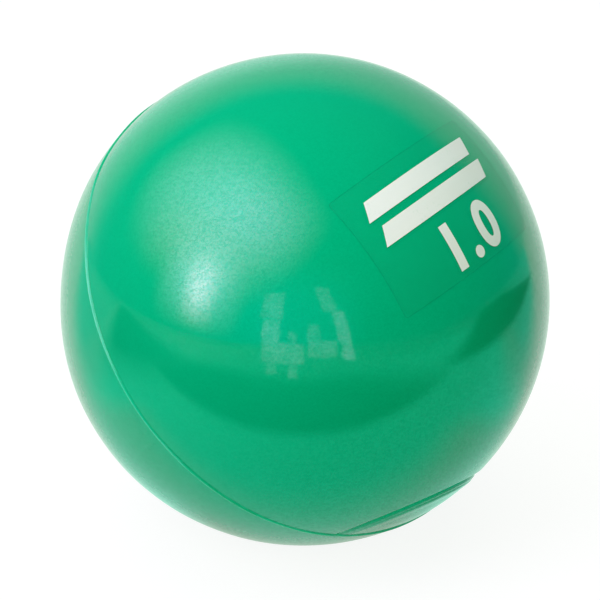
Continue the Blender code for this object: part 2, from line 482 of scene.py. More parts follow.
@dataclass(frozen=True)
class ClearFilm(Finish):
    """Clear vinyl film, seen by its gloss and by the fine dark line of its cut edge."""

    tint: Colour = (0.02, 0.42, 0.22)
    edge_tint: Colour = (0.0, 0.16, 0.07)
    body_alpha: float = 0.03
    edge_alpha: float = 0.13
    scuff_loss: float = 0.3

    def build(self, handling: EffectGroup) -> Material:
        """Mixes the see-through body with the darker edge, by the piece's own edge attribute.

        Args:
            handling: The effect of marks of use.

        Returns:
            The material.
        """
        material, graph, shader = self.start()
        edge = graph.attribute("edge")
        scuffs = handling.placed(graph)["Scuff"]
        colour = graph.blended(edge, self.tint, self.edge_tint)
        alpha = graph.spread(edge, 0.0, 1.0, self.body_alpha, self.edge_alpha)
        gloss = graph.math("MULTIPLY_ADD", scuffs, -self.scuff_loss, self.coat)
        graph.fill(shader, {"Base Color": colour, "Alpha": alpha, "Coat Weight": gloss})
        return material


@dataclass(frozen=True)
class WhiteInk(Finish):
    """White screen print, with the faint mottling of ink on film."""

    pale: Colour = (0.88, 0.93, 0.93)
    thin: Colour = (0.70, 0.83, 0.78)
    reach: float = 160.0
    grain: float = 2200.0

    def build(self, handling: EffectGroup) -> Material:
        """Thins the ink where the marks of use lie.

        Args:
            handling: The effect of marks of use.

        Returns:
            The material.
        """
        material, graph, shader = self.start()
        scuffs = handling.placed(graph, reach=self.reach, grain=self.grain)["Scuff"]
        graph.fill(shader, {"Base Color": graph.blended(scuffs, self.pale, self.thin)})
        return material


@dataclass(frozen=True)
class Swell:
    """A broad rise or hollow in the soft skin."""

    elevation: float
    azimuth: float
    reach: float
    height: float

    def at(self, outward: Array) -> Array:
        """Rise at unit vectors: a bell curve of the angle from its middle."""
        cosine = np.clip(outward @ direction(self.elevation, self.azimuth), -1.0, 1.0)
        return self.height * bell(np.degrees(np.arccos(cosine)), self.reach)


@dataclass(frozen=True)
class PartingLine:
    """The mould's parting line, which runs round the ball square to the pole.

    Each waver is a share of the bead's height, its number of waves round the ball, and its start.
    """

    bead_height: float = 0.00023
    bead_width: float = 0.00018
    wavers: tuple[tuple[float, int, float], ...] = ((0.15, 7, 0.6), (0.12, 19, 2.1))
    mean_height: float = 0.75
    groove_depth: float = 0.00026
    groove_width: float = 0.00021
    groove_offset: float = 0.00044
    shut_depth: float = 0.5
    opened_depth: float = 0.8
    mismatch: float = 0.00016
    mismatch_reach: float = 0.004
    nick_width: float = 0.0005
    nick_longitude: float = 140.0
    open_longitude: float = 112.0
    open_reach: float = 42.0
    # Painted highlight on the bead's crest: its width, and the share of it taken away where the groove is
    # open.
    crest_highlight_width: float = 0.00012
    crest_highlight_cut: float = 0.7
    dull_width: float = 0.00024
    dull_everywhere: float = 0.3

    def turned(self, longitude: Array, start: float) -> Array:
        """Angle round the pole between each longitude and a start in degrees, in radians."""
        return np.abs(wrapped(longitude - math.radians(start)))

    def opened(self, longitude: Array) -> Array:
        """How far the groove is open, from 0 to 1: a flat-topped bell of the angle from its widest place."""
        return plateau(np.degrees(self.turned(longitude, self.open_longitude)), self.open_reach)

    def crest_highlight(self, above: Array, longitude: Array) -> Array:
        """Painted highlight on the bead's crest, from 0 to 1: less where the groove beside it is open."""
        return bell(above, self.crest_highlight_width) * (1.0 - self.crest_highlight_cut * self.opened(longitude))

    def dulled(self, above: Array, longitude: Array) -> Array:
        """How dull the dust in the groove is, from 0 to 1: most where the groove is open."""
        share = self.dull_everywhere + (1.0 - self.dull_everywhere) * self.opened(longitude)
        return bell(above - self.groove_offset, self.dull_width) * share

    def at(self, above: Array, longitude: Array) -> Array:
        """Rise of the skin near the line.

        The bead and the groove on its upper side are bell curves of the distance, the mould halves' mismatch
        is a step that fades with the distance, and the bead's height wavers as a sum of sines round it.

        Args:
            above: Distance from the line along the skin, positive towards the upper pole.
            longitude: Angle round the pole, in radians.

        Returns:
            The rise, in metres.
        """
        waves = (share * np.sin(turns * longitude + start) for share, turns, start in self.wavers)
        waver = self.mean_height + sum(waves)
        nick = 1.0 - bell(self.turned(longitude, self.nick_longitude) * BallSkin.radius, self.nick_width)
        bead = self.bead_height * bell(above, self.bead_width) * waver * nick
        depth = self.groove_depth * (self.shut_depth + self.opened_depth * self.opened(longitude))
        groove = depth * bell(above - self.groove_offset, self.groove_width) * waver
        step = -self.mismatch * 0.5 * np.tanh(above / self.bead_width) * bell(above, self.mismatch_reach)
        return bead - groove + step


@dataclass(frozen=True)
class Crease:
    """A fold in the soft skin, along part of a ring round a middle low on the ball's near side."""

    elevation: float = -58.0
    azimuth: float = 46.0
    ring_radius: float = 0.0216
    lean: float = 6.0
    length: float = 0.0575
    depth: float = 0.0013
    end_fade: float = 0.8
    upper_width: float = 0.00035
    lower_width: float = 0.0011
    lip_height: float = 0.00018
    lip_offset: float = 0.0030
    lip_width: float = 0.0016
    second_depth: float = 0.00018
    second_offset: float = 0.0021
    second_width: float = 0.0003

    def at(self, outward: Array) -> Array:
        """Rise of the skin near the fold, which is negative in the fold itself.

        Across the fold, the valley, the lip below it and a second, finer line are bell curves of the
        distance from the ring, and the valley is narrower on its upper side. Along it, all three fade as a
        power of a cosine towards the two ends.

        Args:
            outward: Unit vectors, n by 3.

        Returns:
            The rise, in metres.
        """
        local = outward @ tangent_frame(direction(self.elevation, self.azimuth))
        opening = math.asin(self.ring_radius / BallSkin.radius)
        across = (np.arccos(np.clip(local[:, 2], -1.0, 1.0)) - opening) * BallSkin.radius
        turn = wrapped(np.arctan2(local[:, 1], local[:, 0]) - math.pi / 2 - math.radians(self.lean))
        along = np.clip(np.abs(turn) * self.ring_radius / (self.length / 2), 0.0, 1.0)
        fade = np.cos(along * math.pi / 2) ** self.end_fade
        valley = self.depth * bell(across, np.where(across > 0.0, self.upper_width, self.lower_width))
        lip = self.lip_height * bell(across + self.lip_offset, self.lip_width)
        second = self.second_depth * bell(across + self.second_offset, self.second_width)
        return fade * (lip - valley - second)


@dataclass
class BallSkin:
    """The hollow ball: outside with its parting line and fold, plug seat, neck and inner wall, in one skin.

    Each ripple is a number of waves and the three parts of a tilted axis. Rings lie closer together in zones:
    how many times, and the zone's middle and reach, as distances above the parting line.
    """

    radius: float = 0.055
    wall: float = 0.004
    floor_blend: float = 0.0005
    neck_bore: float = 0.004
    neck_outer: float = 0.0065
    neck_length: float = 0.009
    seat_radius: float = 0.0093
    seat_depth: float = 0.0023
    rim_round: float = 0.0004
    root_gap: float = 0.0002
    pole_elevation: float = 37.2
    pole_azimuth: float = 43.2
    line: PartingLine = PartingLine()
    crease: Crease = Crease()
    swells: tuple[Swell, ...] = (
        Swell(elevation=4.7, azimuth=-91.7, reach=24.0, height=-0.00085),
        Swell(elevation=41.0, azimuth=-72.0, reach=14.0, height=0.00060),
        Swell(elevation=40.0, azimuth=60.0, reach=18.0, height=-0.00025),
    )
    ripple_height: float = 0.0002
    ripples: tuple[tuple[float, ...], ...] = (
        (9.0, 0.8, 0.5, 0.3),
        (13.0, -0.4, 0.7, 0.6),
        (17.0, 0.2, -0.6, 0.8),
        (23.0, 0.7, 0.1, -0.7),
    )
    around: int = 336
    outer_rows: int = 250
    inner_rows: int = 26
    pole_hole: float = 0.012
    inner_pole_hole: float = 0.05
    zones: tuple[tuple[float, float, float], ...] = ((22.0, 0.0, 0.0010), (5.0, 0.0115, 0.0088))
    fold_shift: tuple[float, float] = (24.0, -12.0)
    fold_closer: float = 3.0
    fold_reach: float = 0.5

    def __post_init__(self) -> None:
        """Finds the ball's centre and its pole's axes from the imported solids."""
        low, high = (np.array(corner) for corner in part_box("shell"))
        self.centre = np.array([*(low + high)[:2] / 2, high[2] - self.radius])
        self.axes = tangent_frame(direction(self.pole_elevation, self.pole_azimuth))

    def ripple(self, outward: Array) -> Array:
        """Slight unevenness of moulded vinyl at unit vectors: a sum of sines along the tilted axes."""
        waves = (np.sin(turns * (outward @ np.array(axis)) + turns) / turns for turns, *axis in self.ripples)
        return self.ripple_height * sum(waves)

    def broad(self, outward: Array) -> Array:
        """All broad rises and hollows together."""
        return sum(swell.at(outward) for swell in self.swells) + self.ripple(outward)

    def round_pole(self, outward: Array) -> tuple[Array, Array]:
        """Distance along the skin from the parting line, and angle round the pole, of unit vectors."""
        across, back, up = (outward @ self.axes).T
        return np.arcsin(np.clip(up, -1.0, 1.0)) * self.radius, np.arctan2(back, across)

    def pressed(self, outward: Array, distance: Array, floor: float) -> Array:
        """Points along unit vectors from the centre, of which a floor presses the lowest flat.

        A parabola takes up the turn from the slope to the flat, over the blend to both sides of the floor.

        Args:
            outward: Unit vectors, n by 3.
            distance: How far from the centre each point lies.
            floor: The lowest height that is left.

        Returns:
            The points, n by 3.
        """
        points = self.centre + outward * distance[:, None]
        over, blend = points[:, 2] - floor, self.floor_blend
        turn = (over + blend) ** 2 / (4 * blend)
        points[:, 2] = floor + np.where(over > blend, over, np.where(over < -blend, 0.0, turn))
        return points

    def outside(self, outward: Array, proud: float | Array = 0.0) -> Array:
        """Points of the outside, or as far over it as proud says: a sphere with its rises, line and fold."""
        rise = self.broad(outward) + self.line.at(*self.round_pole(outward)) + self.crease.at(outward)
        return self.pressed(outward, self.radius + proud + rise, 0.0)

    def inside(self, outward: Array) -> Array:
        """Points of the inner wall: a smaller sphere with the same broad rises, flat over the floor."""
        return self.pressed(outward, self.radius - self.wall + self.broad(outward), self.wall)

    def neck_profile(self) -> Array:
        """Distance from the axis and height of the seat, the bore and the neck, from the skin inwards.

        Returns:
            Pairs of numbers, n by 2.
        """
        small, wide, bore, outer = self.rim_round, self.seat_radius, self.neck_bore, self.neck_outer
        rim = -math.sqrt(self.radius**2 - wide**2)
        seat = -self.radius + self.seat_depth
        top = -self.radius + self.wall + self.neck_length
        distance = [wide, wide, wide - small, bore + small, bore, bore, bore + small, outer - small, outer]
        height = [rim + small, seat - small, seat, seat, seat + small, top - small, top, top, top - small]
        return np.column_stack([distance, height])

    def ring(self, latitudes: Array, longitudes: Array) -> Array:
        """Unit vectors at every latitude and longitude round the pole, latitudes times longitudes by 3."""
        local = carried_round(np.column_stack([np.cos(latitudes), np.sin(latitudes)]), longitudes)
        return local.reshape(-1, 3) @ self.axes.T

    def longitudes(self) -> Array:
        """Angles round the pole, closer together where the fold lies.

        Returns:
            The angles, as many as the skin has round it.
        """
        up, aside = self.fold_shift
        local = direction(self.crease.elevation + up, self.crease.azimuth + aside) @ self.axes
        middle = math.atan2(local[1], local[0])

        def density(longitude: Array) -> Array:
            """How close the points lie."""
            return 1.0 + self.fold_closer * plateau(longitude - middle, self.fold_reach)

        return graded(middle - math.pi, middle + math.pi, self.around + 1, density)[:-1]

    def latitudes(self) -> Array:
        """Angles down the outside from the upper pole to the seat, closer together in the zones.

        Returns:
            The angles, one for each ring.
        """
        seat = -math.acos((self.seat_radius + self.rim_round) / self.radius)

        def density(latitude: Array) -> Array:
            """How close the rings lie."""
            above = latitude * self.radius
            return 1.0 + sum(times * plateau(above - middle, reach) for times, middle, reach in self.zones)

        return graded(math.pi / 2 - self.pole_hole, seat, self.outer_rows, density)

    def build(self) -> Mesh:
        """Carries the profile round the pole: down the outside, in through the neck and up the inner wall.

        Returns:
            The closed mesh, with an attribute for the painted highlight on the bead's crest, and its
            attribute dulled.
        """
        longitudes = self.longitudes()
        outward = self.ring(self.latitudes(), longitudes)
        throat = self.centre + carried_round(self.neck_profile(), longitudes) @ self.axes.T
        root = -math.acos((self.neck_outer + self.root_gap) / (self.radius - self.wall))
        inner_latitudes = np.linspace(root, math.pi / 2 - self.inner_pole_hole, self.inner_rows)
        outer = self.outside(outward).reshape(-1, self.around, 3)
        inner = self.inside(self.ring(inner_latitudes, longitudes)).reshape(-1, self.around, 3)
        pole = self.axes[:, 2][None]
        rows = np.concatenate([outer, throat, inner])
        mesh = turned_mesh("skin", rows, self.outside(pole)[0], self.inside(pole)[0])
        # Stores the painted highlight on the bead's crest, and the dust that dulls the groove.
        for label, highlight_and_dust in (("crest_highlight", self.line.crest_highlight), ("dulled", self.line.dulled)):
            add_attribute(mesh, label, highlight_and_dust(*self.round_pole(outward)))
        mesh.set_sharp_from_angle(angle=SHARP_ANGLE)
        return mesh


@dataclass
class FillerPlug:
    """The bung in the neck: a flush head on the ball's curve, a ribbed stem and a barb."""

    skin: BallSkin
    head_radius: float = 0.009
    head_thickness: float = 0.002
    head_round: float = 0.0003
    stem_radius: float = 0.003
    stem_fillet: float = 0.0004
    stem_start: float = 0.0002
    rib_radius: float = 0.0037
    rib_width: float = 0.0005
    rib_count: int = 3
    rib_pitch: float = 0.0028
    barb_radius: float = 0.0048
    barb_length: float = 0.0042
    barb_land: float = 0.0003
    barb_round: float = 0.0002
    tip_radius: float = 0.0022
    tip_round: float = 0.0008
    tip_rise: float = 0.00001
    tip_rows: int = 5
    gap: float = 0.0003
    edge_round: float = 0.0004
    gate_radius: float = 0.0011
    gate_depth: float = 0.00018
    face_hole: float = 0.0004
    around: int = 128
    stem_rows: int = 60
    face_rows: int = 28

    def profile(self) -> Array:
        """Distance from the axis and height, from the barb's tip out to the middle of the head.

        Each rib is a bell curve on the stem, and the head's outer face is the ball's own arc with the small
        hollow that the mould's gate leaves in its middle.

        Returns:
            Pairs of numbers, n by 2.
        """
        skin = self.skin
        neck_top = -skin.radius + skin.wall + skin.neck_length
        head_top = -skin.radius + self.head_thickness
        rim = -math.sqrt(skin.radius**2 - self.head_radius**2)
        base = neck_top + self.gap
        bend = np.linspace(0.0, math.pi / 2, self.tip_rows + 1)[1:]
        tip = base + self.barb_length - self.tip_round * (1.0 - np.cos(bend))
        nose = np.column_stack([self.tip_radius * np.sin(bend), tip])
        barb = [
            (self.barb_radius, base + self.barb_land),
            (self.barb_radius - self.barb_round, base),
            (self.stem_radius, base),
        ]
        heights = np.linspace(neck_top - self.stem_start, head_top + self.stem_fillet, self.stem_rows)
        middle = (neck_top - skin.radius + skin.seat_depth) / 2
        places = middle + (np.arange(self.rib_count) - (self.rib_count - 1) / 2) * self.rib_pitch
        ribs = bell(heights[:, None] - places, self.rib_width).sum(axis=1)
        stem = np.column_stack([self.stem_radius + (self.rib_radius - self.stem_radius) * ribs, heights])
        side = [
            (self.stem_radius + self.stem_fillet, head_top),
            (self.head_radius - self.head_round, head_top),
            (self.head_radius, head_top - self.head_round),
            (self.head_radius, rim + self.edge_round),
        ]
        out = np.linspace(self.head_radius - self.edge_round, self.face_hole, self.face_rows)
        gate = self.gate_depth * plateau(out, self.gate_radius)
        face = np.column_stack([out, gate - np.sqrt(skin.radius**2 - out**2)])
        return np.concatenate([nose, barb, stem, side, face])

    def build(self) -> Mesh:
        """Turns the profile about the ball's pole.

        Returns:
            The closed mesh.
        """
        skin = self.skin
        profile = self.profile()
        rows = skin.centre + carried_round(profile, even_turns(self.around)) @ skin.axes.T
        tip = skin.centre + skin.axes[:, 2] * (profile[0, 1] + self.tip_rise)
        face = skin.centre + skin.axes[:, 2] * profile[-1, 1]
        mesh = turned_mesh("plug", rows, tip, face)
        mesh.set_sharp_from_angle(angle=SHARP_ANGLE)
        return mesh


@dataclass
class SandFill:
    """The sand in the ball, with a level top, which lies round the neck and the plug."""

    skin: BallSkin
    gap: float = 0.0003
    plug_reach: float = 0.0048
    plug_height: float = 0.0048
    uneven_height: float = 0.00025
    uneven_turns: tuple[float, float] = (21.0, 17.0)
    flattest: float = 0.01
    beyond: float = 1.0
    rows: int = 150
    around: int = 180
    pole_hole: float = 0.02
    pole_closer: float = 5.0
    pole_reach: float = 0.2

    def reach(self, outward: Array) -> Array:
        """Distance from the ball's centre to the sand's outside, along unit vectors.

        It is the least of the distances to the inner wall, to the sand's top, to the floor of the hollow,
        and near the lower pole to the neck's end and the plug's barb. The top is uneven by a product of two
        sines.

        Args:
            outward: Unit vectors, n by 3.

        Returns:
            The distances.
        """
        skin, up = self.skin, outward[:, 2]
        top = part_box("sand_fill")[1].z - skin.centre[2] - self.gap
        floor = skin.wall + self.gap - skin.centre[2]
        wall = skin.radius - skin.wall - self.gap + skin.broad(outward)
        steep = np.where(np.abs(up) < self.flattest, self.flattest, up)
        across, back = self.uneven_turns
        uneven = self.uneven_height * np.sin(outward[:, 0] * across + 1.0) * np.sin(outward[:, 1] * back)
        surface = np.where(up > self.flattest, (top + uneven) / steep, self.beyond)
        bottom = np.where(up < -self.flattest, floor / steep, self.beyond)
        inward = np.maximum(-(outward @ skin.axes[:, 2]), self.flattest)
        spread = np.sqrt(np.maximum(1.0 / inward**2 - 1.0, 0.0))
        neck_end = skin.radius - skin.wall - skin.neck_length - self.gap
        neck = np.where(spread * neck_end < skin.neck_outer + self.gap, neck_end / inward, self.beyond)
        barb_end = neck_end - self.plug_height
        barb = np.where(spread * barb_end < self.plug_reach, barb_end / inward, self.beyond)
        return np.minimum.reduce([wall, surface, bottom, neck, barb])

    def build(self) -> Mesh:
        """Measures the sand's outside in rings round the ball's pole, closer together at the plug.

        Returns:
            The closed mesh.
        """
        skin = self.skin
        high = math.pi / 2 - self.pole_hole

        def density(latitude: Array) -> Array:
            """How close the rings lie."""
            return 1.0 + self.pole_closer * plateau(latitude + high, self.pole_reach)

        outward = skin.ring(graded(high, -high, self.rows, density), even_turns(self.around))
        rows = (skin.centre + outward * self.reach(outward)[:, None]).reshape(self.rows, self.around, 3)
        poles = np.array([skin.axes[:, 2], -skin.axes[:, 2]])
        ends = skin.centre + poles * self.reach(poles)[:, None]
        return turned_mesh("sand", rows, *ends)


@dataclass
class Label:
    """The clear film round the upper pole, and the printed mark on it: bars and a plain figure.

    Each bar is its middle's height on the label and its thickness.
    """

    skin: BallSkin
    width: float = 0.0452
    height: float = 0.0288
    corner: float = 0.0007
    turn: float = 13.5
    shift_across: float = -0.0010
    shift_up: float = -0.0008
    film_lift: float = 0.00002
    film_thickness: float = 0.00012
    ink_lift: float = 0.000005
    ink_thickness: float = 0.00003
    edge_line: float = 0.00013
    edge_closer: float = 9.0
    edge_reach: float = 0.05
    columns: int = 150
    rows: int = 110
    figure: str = "1.0"
    figure_height: float = 0.0096
    figure_share: float = 0.7
    figure_weight: float = 0.0005
    figure_spacing: float = 1.15
    figure_place: tuple[float, float] = (0.0023, -0.0077)
    bar_length: float = 0.0350
    bar_slant: float = 0.45
    bars: tuple[tuple[float, float], ...] = ((0.0082, 0.0042), (0.0022, 0.0042))
    cut_pitch: float = 0.0008
    cut_tolerance: float = 1e-7
    merge_distance: float = 1e-6

    def on_ball(self, flat: Array, proud: float | Array) -> Array:
        """Lays flat points of the label round the ball.

        A point keeps its distance and its bearing from the pole, and its height over the skin is given.

        Args:
            flat: Places across and up the label, n by 2.
            proud: Height over the skin.

        Returns:
            The points, n by 3.
        """
        turn = math.radians(self.turn)
        across = flat[:, 0] * math.cos(turn) - flat[:, 1] * math.sin(turn) + self.shift_across
        up = flat[:, 0] * math.sin(turn) + flat[:, 1] * math.cos(turn) + self.shift_up
        distance = np.hypot(across, up)
        angle = distance / self.skin.radius
        sideways = np.sin(angle) / np.maximum(distance, 1e-9)
        local = np.stack([across * sideways, up * sideways, np.cos(angle)], axis=-1)
        return self.skin.outside(local @ self.skin.axes.T, proud)

    def sheet(self) -> tuple[Array, Array]:
        """Flat points of the film, and how near each is to the cut edge.

        Rows run up the label. Half the width of a row is half the label's, less the corner's arc near the
        top and the bottom. Points lie closer together near the edge.

        Returns:
            The points, n by 2, and the edge line's strength from 0 to 1, rows by columns.
        """

        def density(share: Array) -> Array:
            """How close the points lie, which is closer at both ends."""
            return 1.0 + self.edge_closer * plateau(1.0 - np.abs(share), self.edge_reach)

        down = graded(-1.0, 1.0, self.rows, density) * self.height / 2
        share = graded(-1.0, 1.0, self.columns, density)
        into = np.maximum(np.abs(down) - (self.height / 2 - self.corner), 0.0)
        inset = self.corner - np.sqrt(np.maximum(self.corner**2 - into**2, 0.0))
        half = (self.width / 2 - inset)[:, None]
        across = share * half
        up = np.broadcast_to(down[:, None], across.shape)
        inwards = np.minimum(half - np.abs(across), self.height / 2 - np.abs(up))
        return np.stack([across, up], axis=-1).reshape(-1, 2), bell(inwards, self.edge_line)

    def film(self) -> Mesh:
        """The film, as a top and an underside joined round the cut edge.

        Returns:
            The closed mesh, with its edge attribute.
        """
        flat, strength = self.sheet()
        index = np.arange(strength.size).reshape(strength.shape)
        upper = np.stack([index[:-1, :-1], index[:-1, 1:], index[1:, 1:], index[1:, :-1]], axis=-1)
        upper = upper.reshape(-1, 4)
        lower = upper[:, ::-1] + index.size
        rim = np.concatenate([index[0, :-1], index[:-1, -1], index[-1, :0:-1], index[:0:-1, 0]])
        after = np.roll(rim, -1)
        side = np.stack([rim, rim + index.size, after + index.size, after], axis=-1)
        faces = np.concatenate([upper, lower, side]).tolist()
        sides = [self.on_ball(flat, self.film_lift + over) for over in (self.film_thickness, 0.0)]
        mesh = mesh_from("film", np.concatenate(sides), faces)
        add_attribute(mesh, "edge", np.tile(strength.ravel(), 2))
        mesh.set_sharp_from_angle(angle=SHARP_ANGLE)
        return mesh

    def figure_mesh(self) -> bmesh.types.BMesh:
        """The figure as a flat outline, filled, below the right half of the bars.

        Returns:
            The flat mesh.
        """
        curve = bpy.data.curves.new("figure", "FONT")
        curve.body = self.figure
        curve.size = self.figure_height / self.figure_share
        curve.space_character = self.figure_spacing
        curve.offset = self.figure_weight
        text = linked("figure", curve)
        depsgraph = bpy.context.evaluated_depsgraph_get()
        mesh = bpy.data.meshes.new_from_object(text.evaluated_get(depsgraph))
        bpy.data.objects.remove(text)
        model = bmesh.new()
        model.from_mesh(mesh)
        bpy.data.meshes.remove(mesh)
        places = np.array([v.co[:2] for v in model.verts])
        shift = np.array(self.figure_place) - (places.min(axis=0) + places.max(axis=0)) / 2
        bmesh.ops.translate(model, verts=model.verts, vec=(*shift, 0.0))
        return model

    def mark(self) -> Mesh:
        """The printed mark: figure and bars, cut fine enough to lie on the ball, one layer of ink thick.

        Returns:
            The closed mesh.
        """
        model = self.figure_mesh()
        slant = Matrix(((1.0, self.bar_slant, 0.0), (0.0, 1.0, 0.0), (0.0, 0.0, 1.0))).to_4x4()
        for up, thick in self.bars:
            bar = bmesh.ops.create_grid(model, x_segments=1, y_segments=1, size=0.5)["verts"]
            bmesh.ops.scale(model, vec=(self.bar_length, thick, 1.0), verts=bar)
            bmesh.ops.transform(model, matrix=Matrix.Translation((0.0, up, 0.0)) @ slant, verts=bar)
        cut = {"dist": self.cut_tolerance}
        for normal, reach in (((1, 0, 0), self.width / 2), ((0, 1, 0), self.height / 2)):
            for offset in np.arange(-reach, reach, self.cut_pitch):
                cut.update(plane_co=Vector(normal) * offset, plane_no=normal)
                bmesh.ops.bisect_plane(model, geom=[*model.verts, *model.edges, *model.faces], **cut)
        bmesh.ops.remove_doubles(model, verts=model.verts, dist=self.merge_distance)
        raised = bmesh.ops.extrude_face_region(model, geom=model.faces[:], use_keep_orig=True)["geom"]
        top = [part for part in raised if isinstance(part, bmesh.types.BMVert)]
        bmesh.ops.translate(model, verts=top, vec=(0.0, 0.0, self.ink_thickness))
        bmesh.ops.recalc_face_normals(model, faces=model.faces)
        mesh = bpy.data.meshes.new("printed_mark")
        model.to_mesh(mesh)
        model.free()
        flat = np.empty(len(mesh.vertices) * 3, np.float32)
        mesh.vertices.foreach_get("co", flat)
        flat = flat.reshape(-1, 3).astype(float)
        proud = self.film_lift + self.film_thickness + self.ink_lift + flat[:, 2]
        mesh.vertices.foreach_set("co", self.on_ball(flat[:, :2], proud).astype(np.float32).ravel())
        mesh.update()
        mesh.shade_smooth()
        mesh.set_sharp_from_angle(angle=SHARP_ANGLE)
        return mesh


@dataclass(frozen=True)
class Glow:
    """A bright field with soft edges in the studio's surroundings, such as a lit diffuser.

    Its half width and half height are angles, and its edges fade over the share softness of them.
    """

    elevation: float
    azimuth: float
    half_width: float
    half_height: float
    softness: float
    tint: Colour
    least_depth: float = 0.01

    def shade(self, graph: Graph, outward: Socket) -> Socket:
        """Radiance of the field in a direction, which is carried onto the plane that faces the field.

        Args:
            graph: The world's graph.
            outward: The direction.

        Returns:
            The radiance, as a colour.
        """
        across, up, ahead = tangent_frame(direction(self.elevation, self.azimuth)).T
        depth = graph.along(outward, ahead)
        total = graph.math("GREATER_THAN", depth, self.least_depth)
        for axis, half in ((across, self.half_width), (up, self.half_height)):
            away = graph.math("ABSOLUTE", graph.math("DIVIDE", graph.along(outward, axis), depth))
            edge = math.tan(math.radians(half))
            fade = graph.spread(away, edge * (1.0 - self.softness), edge * (1.0 + self.softness), 1.0, 0.0)
            total = graph.math("MULTIPLY", total, fade)
        return graph.scaled(graph.node("CombineXYZ", dict(enumerate(self.tint))).outputs[0], total)


@dataclass(frozen=True)
class Field:
    """A soft-edged part of the table top, or of the window, whose front and back are its bottom and top.

    It may lean to the right or left as it goes back, and all its edges but the back one may fade further.
    """

    left: float
    right: float
    front: float
    back: float
    softness: float
    lean: float = 0.0
    fade: float = 0.0

    def mask(self, graph: Graph, place: Socket) -> Socket:
        """Its share at a place, from 0 to 1: four soft steps, multiplied.

        Args:
            graph: The material's graph.
            place: The place on the table or in the window.

        Returns:
            The share.
        """
        parts = graph.node("SeparateXYZ", {0: place}).outputs
        sideways = graph.math("MULTIPLY_ADD", parts["Y"], -self.lean, parts["X"])
        wide = self.softness + self.fade
        total = 1.0
        for value, edge, reach, low in (
            (sideways, self.left, wide, 0.0),
            (sideways, self.right, wide, 1.0),
            (parts["Y"], self.front, wide, 0.0),
            (parts["Y"], self.back, self.softness, 1.0),
        ):
            step = graph.spread(value, edge - reach, edge + reach, low, 1.0 - low)
            total = graph.math("MULTIPLY", step, total)
        return total


@dataclass(frozen=True)
class SoftBox:
    """A rectangular light that faces the ball, which the camera and the gloss don't see."""

    name: str
    elevation: float
    azimuth: float
    distance: float
    width: float
    height: float
    power: float
    colour: Colour

    def build(self, centre: Array) -> None:
        """Puts the light into the scene.

        Args:
            centre: The ball's centre.
        """
        data = bpy.data.lights.new(self.name, "AREA")
        data.shape = "RECTANGLE"
        data.size, data.size_y = self.width, self.height
        data.energy = self.power
        data.color = self.colour
        light = linked(self.name, data)
        axes = tangent_frame(direction(self.elevation, self.azimuth))
        light.location = Vector(centre + axes[:, 2] * self.distance)
        light.rotation_euler = Matrix(axes.tolist()).to_euler()
        light.visible_camera = light.visible_glossy = False


